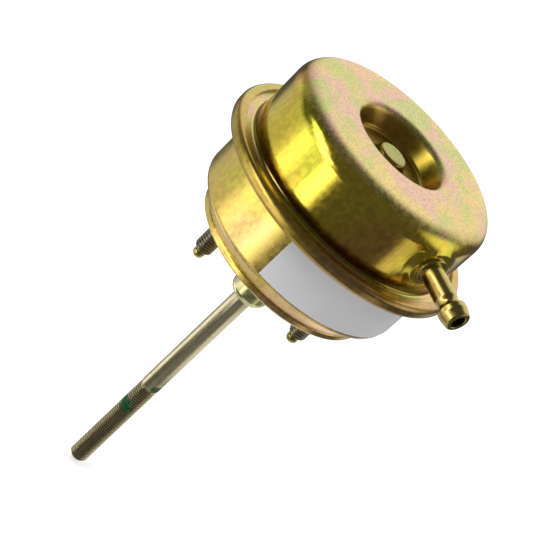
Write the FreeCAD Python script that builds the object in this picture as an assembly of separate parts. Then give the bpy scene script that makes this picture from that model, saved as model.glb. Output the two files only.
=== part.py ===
import FreeCAD, Part
import math
import os

V = FreeCAD.Vector

# Heights are measured from the mounting face, the underside of the base plate.
# The rod points down, the pressure cover is on top.

# Both pressed cans
can_radius = 35.3
can_wall = 1.1

# Cover, the upper can that holds the boost pressure
cover_height = 50.5
cover_edge_bend = 5.7
cover_flange_bend = 1.3
recess_radius = 15.6
recess_depth = 6.9
recess_lip_bend = 2.8
recess_floor_bend = 1.6
recess_draft = 2.6
button_radius = 4.7
button_height = 3.0
button_bend = 1.3
button_draft = 0.5

# Spring housing, the lower can, whose flange is hemmed over the cover's flange
crimp_height = 25.1
crimp_width = 6.5
hem_width = 3.1
hem_bend = 1.6
floor_edge_width = 4.7
floor_edge_height = 5.2
floor_edge_bend = 2.5
flange_bend = 0.8

# Base plate and its two studs
base_inset = 4.8
base_thickness = 2.4
base_edge_round = 0.6
stud_seat_clearance = 0.1
stud_radius = 3.0
stud_length = 20.0
stud_chamfer = 0.6
stud_shank_radius = 3.4
stud_head_radius = 3.8
stud_head_thickness = 1.8
dog_radius = 1.85
dog_length = 3.0
dog_neck_radius = 1.35
dog_neck_length = 0.7
hole_clearance = 0.05

# Rod guide
guide_radius = 6.2
guide_length = 18.9
guide_wall = 1.0
guide_end_roundness = 0.97
guide_flange_bend = 0.5
guide_flange_width = 2.6
guide_mouth_clearance = 0.2
wiper_thickness = 2.0
bush_length = 16.0
retainer_thickness = 1.2
running_clearance = 0.05

# Hose nipple and the boss pressed in the cover for it
nipple_azimuth = -44.5
nipple_height = 39.6
nipple_length = 18.7
nipple_radius = 3.2
nipple_bore_radius = 2.1
barb_radius = 4.05
barb_length = 7.6
barb_land = 1.6
barb_neck_radius = 2.9
barb_neck_start = 0.15
barb_neck_end = 0.3
barb_land_start = 0.42
barb_end_radius = 3.4
shoulder_radius = 4.5
shoulder_thickness = 0.9
flare_radius = 4.3
flare_thickness = 0.9
boss_face_radius = 6.2
boss_height = 0.8
boss_foot_radius = 9.6
boss_foot_depth = 2.4
boss_edge_round = 0.9

# Label on the spring housing
label_start_azimuth = -101.3
label_length = 67.0
label_thickness = 0.14
label_margin_low = 1.1
label_margin_high = 1.7
label_gap = 0.02

# Rod and its stroke
rod_radius = 3.175
rod_reach = 104.5
rod_thread_radius = 3.12
rod_thread_length = 39.0
thread_relief_radius = 2.8
thread_relief_length = 1.0
rod_tip_chamfer = 0.9
rod_spigot_radius = 2.4
rivet_height = 1.6
rivet_clearance = 0.35
stroke = 12.0
stop_gap = 0.2

# Piston, its plate and washer
piston_clearance = 5.0
piston_wall = 1.2
piston_bend = 2.2
plate_inset = 2.7
plate_thickness = 1.2
plate_lip_height = 2.6
plate_bend = 1.8
washer_radius = 8.0
washer_thickness = 1.2

# Rolling diaphragm
diaphragm_thickness = 1.0
diaphragm_roll_depth = 4.6
diaphragm_gap = 0.3
diaphragm_bend = 1.4

# Return spring and its seat
wire_diameter = 3.4
spring_clearance = 0.6
active_coils = 4
closed_coil_pitch = 1.04
ground_share = 0.35
seat_thickness = 0.9
seat_lip_height = 3.0
seat_lip_clearance = 0.3
seat_width = 6.2
landing_gap = 0.3

# Heights and radii that follow from the sizes above
floor_top = base_thickness + can_wall
crimp_stack = 3 * can_wall + diaphragm_thickness
bead_bottom = crimp_height + can_wall
bead_top = bead_bottom + diaphragm_thickness
crimp_radius = can_radius + crimp_width
clamp_radius = crimp_radius - hem_bend
base_radius = can_radius - base_inset
nipple_reach = can_radius + nipple_length
cavity_radius = can_radius - can_wall
piston_radius = cavity_radius - piston_clearance
plate_radius = piston_radius - plate_inset
spring_radius = piston_radius - piston_wall - spring_clearance - wire_diameter / 2
recess_floor = cover_height - recess_depth
button_top = recess_floor + button_height
plate_top = recess_floor - can_wall - stop_gap
diaphragm_top = plate_top - plate_thickness
crown_top = diaphragm_top - diaphragm_thickness
crown_bottom = crown_top - piston_wall
rod_shoulder = crown_bottom - washer_thickness
seat_top = floor_top + seat_thickness
seat_inner_radius = spring_radius - wire_diameter / 2 - seat_lip_clearance - seat_thickness
stud_circle_radius = seat_inner_radius - stud_head_radius - stud_seat_clearance
skirt_bottom = seat_top + landing_gap + stroke
roll_bottom = bead_bottom - diaphragm_roll_depth
guide_bore_radius = guide_radius - guide_wall
guide_mouth_radius = rod_radius + guide_mouth_clearance
guide_end_bend = (guide_radius - guide_mouth_radius) * guide_end_roundness
wiper_bottom = guide_wall - guide_length
bush_bottom = wiper_bottom + wiper_thickness
bush_top = bush_bottom + bush_length
rod_hole_radius = rod_radius + running_clearance
spigot_hole_radius = rod_spigot_radius + hole_clearance
boss_face = can_radius + boss_height
turn = V(0, 0, 1)
origin = V(0, 0, 0)


def corner(before, here, after, bend):
    """Start, middle and end of the arc that rounds one corner of an outline."""
    if bend <= 0:
        return here, None, here
    back = (before - here).normalize()
    ahead = (after - here).normalize()
    half = back.getAngle(ahead) / 2
    reach = bend / math.tan(half)
    inward = (back + ahead).normalize() * (bend / math.sin(half) - bend)
    return here + back * reach, here + inward, here + ahead * reach


def outline(points):
    """Closed wire in the XZ plane from (radius, height, bend) corners."""
    places = [V(point[0], 0, point[1]) for point in points]
    bends = [point[2] if len(point) > 2 else 0 for point in points]
    count = len(places)
    corners = []
    for i in range(count):
        corners.append(corner(places[i - 1], places[i], places[(i + 1) % count], bends[i]))
    edges = []
    for i in range(count):
        start, middle, end = corners[i]
        if middle:
            edges.append(Part.Arc(start, middle, end).toShape())
        following = corners[(i + 1) % count][0]
        if end.distanceToPoint(following) > 1e-5:
            edges.append(Part.LineSegment(end, following).toShape())
    return Part.Wire(edges)


def turned(points):
    """Solid of revolution about Z."""
    return Part.Face(outline(points)).revolve(origin, turn, 360)


def offset_path(path, wall):
    """The same path moved to its left by the wall, with its bends adjusted."""
    directions = []
    for i in range(len(path) - 1):
        step = V(path[i + 1][0] - path[i][0], 0, path[i + 1][1] - path[i][1])
        directions.append(step.normalize())
    moved = []
    for i, point in enumerate(path):
        first = directions[max(i - 1, 0)]
        second = directions[min(i, len(directions) - 1)]
        left_first = V(-first.z, 0, first.x)
        left_second = V(-second.z, 0, second.x)
        shift = (left_first + left_second) * (wall / (1 + left_first.dot(left_second)))
        bend = point[2] if len(point) > 2 else 0
        if bend:
            left_turn = first.x * second.z - first.z * second.x > 0
            bend = bend - wall if left_turn else bend + wall
        moved.append((point[0] + shift.x, point[1] + shift.z, bend))
    return moved


def pressed(path, wall):
    """Sheet metal of even thickness, turned about Z, to the left of its path."""
    return turned(list(path) + offset_path(path, wall)[::-1])


def cylinder(radius, bottom, top, x=0.0, y=0.0):
    return Part.makeCylinder(radius, top - bottom, V(x, y, bottom))


def toward_nipple(shape):
    """Turns a shape built along +Z so that it points out along the nipple's axis."""
    placed = shape.copy()
    placed.rotate(origin, V(0, 1, 0), 90)
    placed.rotate(origin, turn, nipple_azimuth)
    placed.translate(V(0, 0, nipple_height))
    return placed


def cover_path():
    return [
        (clamp_radius, bead_top + can_wall),
        (can_radius, bead_top + can_wall, cover_flange_bend),
        (can_radius, cover_height, cover_edge_bend),
        (recess_radius, cover_height, recess_lip_bend),
        (recess_radius - recess_draft, recess_floor, recess_floor_bend),
        (button_radius + button_draft, recess_floor, button_bend),
        (button_radius, button_top, button_bend),
        (0, button_top),
    ]


def boss(face, face_radius, foot_radius):
    """Cone with a rounded edge around its flat face, standing along +Z."""
    foot = face - boss_height - boss_foot_depth
    return turned([
        (0, foot),
        (foot_radius, foot),
        (face_radius, face, boss_edge_round),
        (0, face),
    ])


def upper_can():
    path = cover_path()
    shell = pressed(path, can_wall)
    inner = offset_path(path, can_wall)
    cavity = turned(inner + [(0, inner[0][1])])
    below = cylinder(crimp_radius, 0, bead_top + can_wall)
    raised = toward_nipple(boss(boss_face, boss_face_radius, boss_foot_radius)).cut(cavity).cut(below)
    dish = toward_nipple(boss(boss_face - can_wall, boss_face_radius - can_wall / 2,
                              boss_foot_radius - can_wall)).cut(below)
    hole = toward_nipple(cylinder(nipple_radius + hole_clearance, 0, boss_face + 1))
    return shell.fuse(raised).cut(dish).cut(hole).removeSplitter()


def lower_can():
    hem_top = crimp_height + crimp_stack
    shell = pressed([
        (guide_radius + guide_flange_bend + hole_clearance, base_thickness),
        (can_radius - floor_edge_width, base_thickness, floor_edge_bend),
        (can_radius, base_thickness + floor_edge_height, floor_edge_bend),
        (can_radius, crimp_height, flange_bend),
        (crimp_radius, crimp_height, hem_bend),
        (crimp_radius, hem_top, hem_bend),
        (crimp_radius - hem_width, hem_top),
    ], can_wall)
    return shell.cut(stud_holes())


def base_plate():
    plate = turned([
        (guide_radius + hole_clearance, 0),
        (base_radius, 0, base_edge_round),
        (base_radius, base_thickness, base_edge_round),
        (guide_radius + hole_clearance, base_thickness),
    ])
    return plate.cut(stud_holes())


def stud_holes():
    holes = []
    for side in (-1, 1):
        holes.append(cylinder(stud_shank_radius + hole_clearance, 0, floor_top, side * stud_circle_radius))
    return Part.makeCompound(holes)


def mounting_stud(side):
    """Headed stud with a pressed shank in the floor and a narrow dog point that leads it into the bracket."""
    thread_end = dog_length - stud_length
    stud = turned([
        (0, -stud_length),
        (dog_radius, -stud_length, dog_radius * 0.75),
        (dog_radius, thread_end - dog_neck_length, dog_radius * 0.25),
        (dog_neck_radius, thread_end - dog_neck_length),
        (dog_neck_radius, thread_end),
        (stud_radius - stud_chamfer, thread_end),
        (stud_radius, thread_end + stud_chamfer),
        (stud_radius, 0),
        (stud_shank_radius, 0),
        (stud_shank_radius, floor_top),
        (stud_head_radius, floor_top),
        (stud_head_radius, floor_top + stud_head_thickness, stud_head_thickness / 3),
        (0, floor_top + stud_head_thickness),
    ])
    stud.translate(V(side * stud_circle_radius, 0, 0))
    return stud


def guide_boss():
    """Drawn thimble that passes down through the floor and rounds in to the rod."""
    return pressed([
        (guide_mouth_radius, -guide_length),
        (guide_radius, -guide_length, guide_end_bend),
        (guide_radius, floor_top, guide_flange_bend),
        (guide_radius + guide_flange_width, floor_top),
    ], guide_wall)


def rod_wiper():
    return turned([
        (rod_hole_radius, wiper_bottom),
        (guide_bore_radius, wiper_bottom, guide_end_bend - guide_wall + hole_clearance),
        (guide_bore_radius, bush_bottom),
        (rod_hole_radius, bush_bottom),
    ])


def guide_bush():
    chamfer = guide_wall / 2
    return turned([
        (rod_hole_radius, bush_bottom),
        (guide_bore_radius, bush_bottom),
        (guide_bore_radius, bush_top),
        (rod_hole_radius + chamfer, bush_top),
        (rod_hole_radius, bush_top - chamfer),
    ])


def bush_retainer():
    return turned([
        (guide_mouth_radius, bush_top),
        (guide_bore_radius, bush_top),
        (guide_bore_radius, bush_top + retainer_thickness),
        (guide_mouth_radius, bush_top + retainer_thickness),
    ])


def hose_nipple():
    """Turned tube with a shoulder outside the cover and a flare inside it."""
    seat = boss_face - can_wall
    barb_start = nipple_reach - barb_length
    land_start = barb_start + barb_length * barb_land_start
    return toward_nipple(turned([
        (nipple_bore_radius, seat - flare_thickness),
        (flare_radius, seat - flare_thickness, flare_thickness / 2),
        (flare_radius, seat),
        (nipple_radius, seat),
        (nipple_radius, boss_face),
        (shoulder_radius, boss_face, shoulder_thickness / 4),
        (shoulder_radius, boss_face + shoulder_thickness, shoulder_thickness / 2),
        (nipple_radius, boss_face + shoulder_thickness),
        (nipple_radius, barb_start, barb_length / 8),
        (barb_neck_radius, barb_start + barb_length * barb_neck_start, barb_length / 8),
        (barb_neck_radius, barb_start + barb_length * barb_neck_end, barb_length / 8),
        (barb_radius, land_start, barb_length / 12),
        (barb_radius, land_start + barb_land, barb_length / 6),
        (barb_end_radius, nipple_reach, barb_length / 12),
        (nipple_bore_radius, nipple_reach, barb_length / 24),
    ]))


def label():
    """Sticker wrapped round the side of the spring housing."""
    inner = can_radius + label_gap
    bottom = base_thickness + floor_edge_height + label_margin_low
    sheet = turned_sector(inner, inner + label_thickness, bottom, crimp_height - label_margin_high,
                          math.degrees(label_length / can_radius))
    sheet.rotate(origin, turn, label_start_azimuth)
    return sheet


def turned_sector(inner, outer, bottom, top, angle):
    section = outline([(inner, bottom), (outer, bottom), (outer, top), (inner, top)])
    return Part.Face(section).revolve(origin, turn, angle)


def spring_seat():
    """Ring on the floor with a lip that centres the spring from inside."""
    return pressed([
        (seat_inner_radius, seat_top + seat_lip_height),
        (seat_inner_radius, floor_top, seat_thickness * 1.4),
        (seat_inner_radius + seat_width, floor_top),
    ], seat_thickness)


def half_coil(bottom, rise, side):
    """Half a turn of wire that starts level on one side and ends level on the other."""
    start = V(side * spring_radius, 0, bottom)
    centre = V(0, 0, bottom + rise / 2)
    section = Part.Face(Part.Wire(Part.makeCircle(wire_diameter / 2, start, V(0, 1, 0))))
    axis = (start - centre).cross(V(0, side, 0))
    return section.revolve(centre, axis.normalize(), 180)


def main_spring():
    """Compression spring with one closed and ground coil at each end."""
    end_rise = closed_coil_pitch * wire_diameter
    buried = ground_share * wire_diameter
    active_rise = crown_bottom - seat_top - 2 * buried - 2 * end_rise
    rises = [end_rise / 2] * 2 + [active_rise / active_coils / 2] * (2 * active_coils) + [end_rise / 2] * 2
    halves = []
    bottom = seat_top + buried
    for i, rise in enumerate(rises):
        halves.append(half_coil(bottom, rise, (-1) ** i))
        bottom += rise
    coil = halves[0].multiFuse(halves[1:])
    slab = cylinder(spring_radius + wire_diameter, seat_top, crown_bottom)
    return coil.common(slab)


def diaphragm():
    """Moulded sheet clamped in the crimp, rolled down beside the piston and up over its crown."""
    roll_outer = cavity_radius - diaphragm_gap - diaphragm_thickness
    roll_inner = piston_radius + diaphragm_gap + diaphragm_thickness
    roll_bend = (roll_outer - roll_inner) / 2
    return pressed([
        (clamp_radius, bead_top),
        (roll_outer, bead_top, diaphragm_bend),
        (roll_outer, roll_bottom + diaphragm_thickness, roll_bend),
        (roll_inner, roll_bottom + diaphragm_thickness, roll_bend),
        (roll_inner, diaphragm_top, diaphragm_bend),
        (spigot_hole_radius, diaphragm_top),
    ], diaphragm_thickness)


def piston_cup():
    return pressed([
        (piston_radius, skirt_bottom),
        (piston_radius, crown_top, piston_bend),
        (spigot_hole_radius, crown_top),
    ], piston_wall)


def diaphragm_plate():
    """Dished plate that clamps the diaphragm onto the piston."""
    return pressed([
        (spigot_hole_radius, diaphragm_top),
        (plate_radius, diaphragm_top, plate_bend),
        (plate_radius, diaphragm_top + plate_lip_height),
    ], plate_thickness)


def rod_washer():
    return turned([
        (spigot_hole_radius, rod_shoulder),
        (washer_radius, rod_shoulder, washer_thickness / 3),
        (washer_radius, crown_bottom),
        (spigot_hole_radius, crown_bottom),
    ])


def actuator_rod():
    """Rod with a threaded lower end above which it is relieved, and a riveted head on its upper spigot."""
    rivet_radius = button_radius - can_wall - rivet_clearance
    thread_start = rod_thread_length - rod_reach
    relief_start = thread_start - thread_relief_length
    relief_drop = rod_thread_radius - thread_relief_radius
    relief_rise = rod_radius - thread_relief_radius
    return turned([
        (0, -rod_reach),
        (rod_thread_radius - rod_tip_chamfer, -rod_reach, rod_tip_chamfer / 2),
        (rod_thread_radius, rod_tip_chamfer - rod_reach, rod_tip_chamfer / 2),
        (rod_thread_radius, relief_start),
        (thread_relief_radius, relief_start + relief_drop),
        (thread_relief_radius, thread_start - relief_rise),
        (rod_radius, thread_start),
        (rod_radius, rod_shoulder),
        (rod_spigot_radius, rod_shoulder),
        (rod_spigot_radius, plate_top),
        (rivet_radius, plate_top),
        (rivet_radius, plate_top + rivet_height, rivet_height * 0.7),
        (0, plate_top + rivet_height),
    ])


pieces = {
    "upper_can": upper_can(),
    "lower_can": lower_can(),
    "base_plate": base_plate(),
    "mounting_stud_left": mounting_stud(-1),
    "mounting_stud_right": mounting_stud(1),
    "guide_boss": guide_boss(),
    "rod_wiper": rod_wiper(),
    "guide_bush": guide_bush(),
    "bush_retainer": bush_retainer(),
    "hose_nipple": hose_nipple(),
    "label": label(),
    "spring_seat": spring_seat(),
    "main_spring": main_spring(),
    "diaphragm": diaphragm(),
    "piston_cup": piston_cup(),
    "diaphragm_plate": diaphragm_plate(),
    "rod_washer": rod_washer(),
    "actuator_rod": actuator_rod(),
}

os.makedirs("parts", exist_ok=True)
for name, shape in pieces.items():
    solid = shape.Solids[0] if len(shape.Solids) == 1 else shape
    solid.exportStep("parts/" + name + ".step")
    print(name, "solids", len(shape.Solids), "valid", shape.isValid(), "volume", round(shape.Volume, 1))
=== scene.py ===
import math
import bmesh
import bpy
from mathutils import Matrix, Vector


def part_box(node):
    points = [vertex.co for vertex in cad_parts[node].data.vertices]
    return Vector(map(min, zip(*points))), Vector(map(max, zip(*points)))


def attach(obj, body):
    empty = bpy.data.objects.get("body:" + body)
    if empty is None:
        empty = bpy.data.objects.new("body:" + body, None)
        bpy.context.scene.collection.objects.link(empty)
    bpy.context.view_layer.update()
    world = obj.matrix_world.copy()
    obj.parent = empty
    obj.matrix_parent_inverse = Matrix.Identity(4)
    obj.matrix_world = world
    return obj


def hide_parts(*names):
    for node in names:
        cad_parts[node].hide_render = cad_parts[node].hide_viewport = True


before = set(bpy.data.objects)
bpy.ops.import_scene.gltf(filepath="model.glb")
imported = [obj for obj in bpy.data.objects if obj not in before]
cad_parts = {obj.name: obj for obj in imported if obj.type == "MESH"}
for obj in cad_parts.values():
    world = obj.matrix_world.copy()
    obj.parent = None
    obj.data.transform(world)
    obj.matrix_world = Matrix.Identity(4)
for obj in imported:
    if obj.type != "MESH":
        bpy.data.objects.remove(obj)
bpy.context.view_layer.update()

mm = 0.001

# sizes read from the frame, in millimetres


def low(node, axis):
    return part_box(node)[0][axis] / mm


def high(node, axis):
    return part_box(node)[1][axis] / mm


canWall = 1.1
canRadius = 35.3
crimpRadius = high("lower_can", 0)
crimpTop = high("lower_can", 2)
crimpStack = 4.3
baseRadius = high("base_plate", 0)
baseTop = high("base_plate", 2)
coverTop = high("upper_can", 2)
coverFlangeTop = crimpTop - canWall
rodTip = low("actuator_rod", 2)
studTip = low("mounting_stud_left", 2)
studOffset = (low("mounting_stud_right", 0) + high("mounting_stud_right", 0)) / 2

# outlines and turned meshes

# limits in millimetres, except the cosine, the count and the welding distance, which is in metres
straightCosine = 0.9999
fewestSteps = 3
shortestGap = 0.01
closestPoints = 0.004
axisRadius = 1e-4
weldDistance = 1e-7


def arcCorner(before, here, after, bend, steps):
    # the points of one rounded corner
    back = (before - here).normalized()
    ahead = (after - here).normalized()
    if bend <= 0 or abs(back.dot(ahead)) > straightCosine:
        return [here.copy()]
    half = back.angle(ahead) / 2
    centre = here + (back + ahead).normalized() * (bend / math.sin(half))
    first = here + back * (bend / math.tan(half)) - centre
    last = here + ahead * (bend / math.tan(half)) - centre
    sweep = math.atan2(first.x * last.y - first.y * last.x, first.dot(last))
    count = max(fewestSteps, round(steps * abs(sweep) / math.pi))
    points = []
    for i in range(count + 1):
        turn = sweep * i / count
        across = Vector((first.x * math.cos(turn) - first.y * math.sin(turn),
                         first.x * math.sin(turn) + first.y * math.cos(turn)))
        points.append(centre + across)
    return points


def roundedLine(corners, closed=False, steps=20, spacing=0.0, hold=0.06):
    # corners are (radius, height, bend); hold adds a row beside each bend so that flats shade flat
    places = [Vector(corner[:2]) for corner in corners]
    bends = [corner[2] if len(corner) > 2 else 0 for corner in corners]
    count = len(places)
    runs = []
    for i in range(count):
        inside = closed or 0 < i < count - 1
        if inside:
            runs.append(arcCorner(places[i - 1], places[i], places[(i + 1) % count], bends[i], steps))
        else:
            runs.append([places[i].copy()])
    line = []
    spans = count if closed else count - 1
    for i in range(spans):
        line += runs[i]
        start = runs[i][-1]
        end = runs[(i + 1) % count][0]
        gap = (end - start).length
        if gap < shortestGap:
            continue
        shares = []
        if gap > 4 * hold:
            shares = [hold / gap, 1 - hold / gap]
        if spacing and gap > 2 * spacing:
            extra = int(gap / spacing)
            shares = sorted(shares + [j / extra for j in range(1, extra)])
        line += [start.lerp(end, share) for share in shares]
    if not closed:
        line += runs[-1]
    tidy = [line[0]]
    for point in line[1:]:
        if (point - tidy[-1]).length > closestPoints:
            tidy.append(point)
    return tidy


def offsetCorners(corners, wall):
    # the other face of a pressed sheet, to the left of its outline
    steps = [(Vector(corners[i + 1][:2]) - Vector(corners[i][:2])).normalized()
             for i in range(len(corners) - 1)]
    moved = []
    for i, corner in enumerate(corners):
        first = steps[max(i - 1, 0)]
        second = steps[min(i, len(steps) - 1)]
        leftFirst = Vector((-first.y, first.x))
        leftSecond = Vector((-second.y, second.x))
        shift = (leftFirst + leftSecond) * (wall / (1 + leftFirst.dot(leftSecond)))
        bend = corner[2] if len(corner) > 2 else 0
        if bend:
            bend += -wall if first.x * second.y - first.y * second.x > 0 else wall
        moved.append((corner[0] + shift.x, corner[1] + shift.y, max(bend, 0)))
    return moved


def evenTurns(columns):
    return [2 * math.pi * i / columns for i in range(columns)]


def turnedMesh(name, loop, turns, shape=None):
    # revolves a closed loop of (radius, height) points about Z, in millimetres
    # shape may move a point and is told which point of the loop it came from
    vertices = []
    rings = []
    sources = []
    for i, point in enumerate(loop):
        if point.x < axisRadius:
            rings.append([len(vertices)] * len(turns))
            vertices.append(Vector((0, 0, point.y)))
            sources.append(i)
            continue
        ring = []
        for turn in turns:
            ring.append(len(vertices))
            vertices.append(Vector((point.x * math.cos(turn), point.x * math.sin(turn), point.y)))
            sources.append(i)
        rings.append(ring)
    if shape:
        vertices = [shape(vertex, source) for vertex, source in zip(vertices, sources)]
    faces = []
    for i in range(len(rings)):
        here = rings[i]
        there = rings[(i + 1) % len(rings)]
        for j in range(len(turns)):
            k = (j + 1) % len(turns)
            corners = []
            for index in (here[j], here[k], there[k], there[j]):
                if index not in corners:
                    corners.append(index)
            if len(corners) > 2:
                faces.append(corners)
    mesh = bpy.data.meshes.new(name)
    mesh.from_pydata([vertex * mm for vertex in vertices], [], faces)
    return mesh


def placeObject(name, data):
    thing = bpy.data.objects.new(name, data)
    bpy.context.scene.collection.objects.link(thing)
    return thing


def finishMesh(name, mesh, material):
    # outward faces, smooth shading and one material
    work = bmesh.new()
    work.from_mesh(mesh)
    bmesh.ops.remove_doubles(work, verts=work.verts, dist=weldDistance)
    bmesh.ops.recalc_face_normals(work, faces=work.faces)
    work.to_mesh(mesh)
    work.free()
    mesh.shade_smooth()
    mesh.materials.clear()
    mesh.materials.append(material)
    return placeObject(name, mesh)


def alongNipple(point, source):
    # from a shape standing on Z to the nipple's axis
    turn = math.radians(nippleSpec["azimuth"])
    out = Vector((math.cos(turn), math.sin(turn), 0))
    side = Vector((-math.sin(turn), math.cos(turn), 0))
    return out * point.z + side * point.y + Vector((0, 0, nippleSpec["height"] - point.x))


# shader helpers


def addNode(tree, kind, settings=None, **inputs):
    node = tree.nodes.new(kind)
    for key, value in (settings or {}).items():
        setattr(node, key, value)
    for key, value in inputs.items():
        socket = node.inputs[int(key[1:])] if key[0] == "i" and key[1:].isdigit() else node.inputs[key]
        if isinstance(value, bpy.types.NodeSocket):
            tree.links.new(value, socket)
        else:
            socket.default_value = value
    return node


def mathNode(tree, operation, *values, clamp=False):
    node = tree.nodes.new("ShaderNodeMath")
    node.operation = operation
    node.use_clamp = clamp
    for i, value in enumerate(values):
        if isinstance(value, bpy.types.NodeSocket):
            tree.links.new(value, node.inputs[i])
        else:
            node.inputs[i].default_value = value
    return node.outputs[0]


def mixColor(tree, factor, first, second, blend="MIX"):
    node = tree.nodes.new("ShaderNodeMix")
    node.data_type = "RGBA"
    node.blend_type = blend
    for index, value in ((0, factor), (6, first), (7, second)):
        if isinstance(value, bpy.types.NodeSocket):
            tree.links.new(value, node.inputs[index])
        else:
            node.inputs[index].default_value = value
    return node.outputs[2]


def noiseNode(tree, vector, scale, detail=3.0, roughness=0.5, distortion=0.0):
    node = addNode(tree, "ShaderNodeTexNoise", Vector=vector, Scale=scale, Detail=detail,
                   Roughness=roughness, Distortion=distortion)
    return node.outputs["Fac"]


def rangeNode(tree, value, fromLow, fromHigh, toLow=0.0, toHigh=1.0):
    node = tree.nodes.new("ShaderNodeMapRange")
    node.interpolation_type = "SMOOTHSTEP"
    for index, number in enumerate((value, fromLow, fromHigh, toLow, toHigh)):
        if isinstance(number, bpy.types.NodeSocket):
            tree.links.new(number, node.inputs[index])
        else:
            node.inputs[index].default_value = number
    return node.outputs[0]


def newGroup(name, inputs, outputs):
    # inputs and outputs are pairs of a label and a kind of socket
    group = bpy.data.node_groups.new(name, "ShaderNodeTree")
    for label, kind in inputs:
        group.interface.new_socket(name=label, in_out="INPUT", socket_type=kind)
    for label, kind in outputs:
        group.interface.new_socket(name=label, in_out="OUTPUT", socket_type=kind)
    entry = group.nodes.new("NodeGroupInput")
    leave = group.nodes.new("NodeGroupOutput")
    return group, entry.outputs, leave.inputs


def newMaterial(name):
    material = bpy.data.materials.new(name)
    material.use_nodes = True
    tree = material.node_tree
    shader = tree.nodes["Principled BSDF"]
    coordinates = tree.nodes.new("ShaderNodeTexCoord").outputs["Object"]
    return material, tree, shader, coordinates


def useGroup(tree, group, vector, **inputs):
    node = tree.nodes.new("ShaderNodeGroup")
    node.node_tree = group
    tree.links.new(vector, node.inputs["Vector"])
    for key, value in inputs.items():
        node.inputs[key].default_value = value
    return node.outputs


def bumpNode(tree, height, strength, distance):
    node = addNode(tree, "ShaderNodeBump", Strength=strength, Distance=distance, Height=height)
    return node.outputs["Normal"]


def axisDistance(tree, vector):
    flat = addNode(tree, "ShaderNodeVectorMath", {"operation": "MULTIPLY"}, i0=vector, i1=(1, 1, 0))
    length = addNode(tree, "ShaderNodeVectorMath", {"operation": "LENGTH"}, i0=flat.outputs[0])
    return length.outputs["Value"]


def scaleVector(tree, vector, gain):
    return addNode(tree, "ShaderNodeVectorMath", {"operation": "SCALE"}, i0=vector, Scale=gain).outputs[0]


def roughnessFrom(tree, noise, smooth, rough):
    # nearly all of a noise lies between 0.3 and 0.7
    return rangeNode(tree, noise, 0.3, 0.7, smooth, rough)


def zoneNode(tree, value, zone):
    # from 0 at the first place of the zone to 1 at the second, both in millimetres
    return rangeNode(tree, value, zone[0] * mm, zone[1] * mm)


chromateSpec = {
    "edge": 0.78, "shareGain": 0.55, "roseSoft": 0.09, "greenSoft": 0.08, "greenCover": 0.85,
    "greenScale": 1.3, "grainScale": 22.0, "speckLow": 0.35, "speckHigh": 0.65,
}


def makeChromateGroup():
    # cloudy colour of a yellow chromated zinc skin, with its fine speckle
    s = chromateSpec
    tree, entry, leave = newGroup(
        "chromateSkin",
        [("Vector", "NodeSocketVector"), ("Clouds", "NodeSocketFloat"), ("Gold", "NodeSocketColor"),
         ("Rose", "NodeSocketColor"), ("Green", "NodeSocketColor"), ("Rose Share", "NodeSocketFloat"),
         ("Green Share", "NodeSocketFloat"), ("Speckle", "NodeSocketFloat")],
        [("Color", "NodeSocketColor"), ("Grain", "NodeSocketFloat")])

    def cloud(scaleFactor, detail, distortion, offset):
        shifted = addNode(tree, "ShaderNodeVectorMath", {"operation": "ADD"}, i0=entry["Vector"], i1=offset)
        scale = mathNode(tree, "MULTIPLY", entry["Clouds"], scaleFactor)
        return noiseNode(tree, shifted.outputs[0], scale, detail, 0.5, distortion)

    def patch(noise, share, softness):
        # the larger its share, the lower the noise at which a patch begins
        edge = mathNode(tree, "SUBTRACT", s["edge"], mathNode(tree, "MULTIPLY", share, s["shareGain"]))
        return rangeNode(tree, noise, mathNode(tree, "SUBTRACT", edge, softness),
                         mathNode(tree, "ADD", edge, softness))

    rosePatch = patch(cloud(1.0, 5.0, 0.6, (0, 0, 0)), entry["Rose Share"], s["roseSoft"])
    greenCloud = cloud(s["greenScale"], 5.0, 0.8, (0.31, 0.17, 0.05))
    greenPatch = patch(greenCloud, entry["Green Share"], s["greenSoft"])
    color = mixColor(tree, rosePatch, entry["Gold"], entry["Rose"])
    color = mixColor(tree, mathNode(tree, "MULTIPLY", greenPatch, s["greenCover"]), color, entry["Green"])
    grain = cloud(s["grainScale"], 4.0, 0.0, (0.7, 0.2, 0.4))
    speck = rangeNode(tree, grain, s["speckLow"], s["speckHigh"], -1.0, 1.0)
    gain = mathNode(tree, "ADD", 1.0, mathNode(tree, "MULTIPLY", speck, entry["Speckle"]))
    tree.links.new(scaleVector(tree, color, gain), leave["Color"])
    tree.links.new(grain, leave["Grain"])
    return tree


def makeLatheGroup():
    # fine turning lines that run round the Z axis or along it
    tree, entry, leave = newGroup(
        "drawnLines",
        [("Vector", "NodeSocketVector"), ("Around", "NodeSocketFloat"), ("Along", "NodeSocketFloat")],
        [("Lines", "NodeSocketFloat")])
    parts = addNode(tree, "ShaderNodeSeparateXYZ", i0=entry["Vector"]).outputs
    turn = mathNode(tree, "ARCTAN2", parts[1], parts[0])
    around = mathNode(tree, "MULTIPLY", turn, mathNode(tree, "MULTIPLY", entry["Around"], 0.01))
    reach = mathNode(tree, "ADD", parts[2], axisDistance(tree, entry["Vector"]))
    down = mathNode(tree, "MULTIPLY", reach, entry["Along"])
    joined = addNode(tree, "ShaderNodeCombineXYZ", i0=around, i1=down)
    tree.links.new(noiseNode(tree, joined.outputs[0], 1.0, 4.0, 0.6), leave["Lines"])
    return tree


chromateSkin = makeChromateGroup()
drawnLines = makeLatheGroup()


def skinNode(tree, vector, spec):
    return useGroup(tree, chromateSkin, vector, **{
        "Clouds": spec["clouds"], "Gold": (*spec["gold"], 1), "Rose": (*spec["rose"], 1),
        "Green": (*spec["green"], 1), "Rose Share": spec["roseShare"], "Green Share": spec["greenShare"],
        "Speckle": spec["speckle"]})


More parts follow.
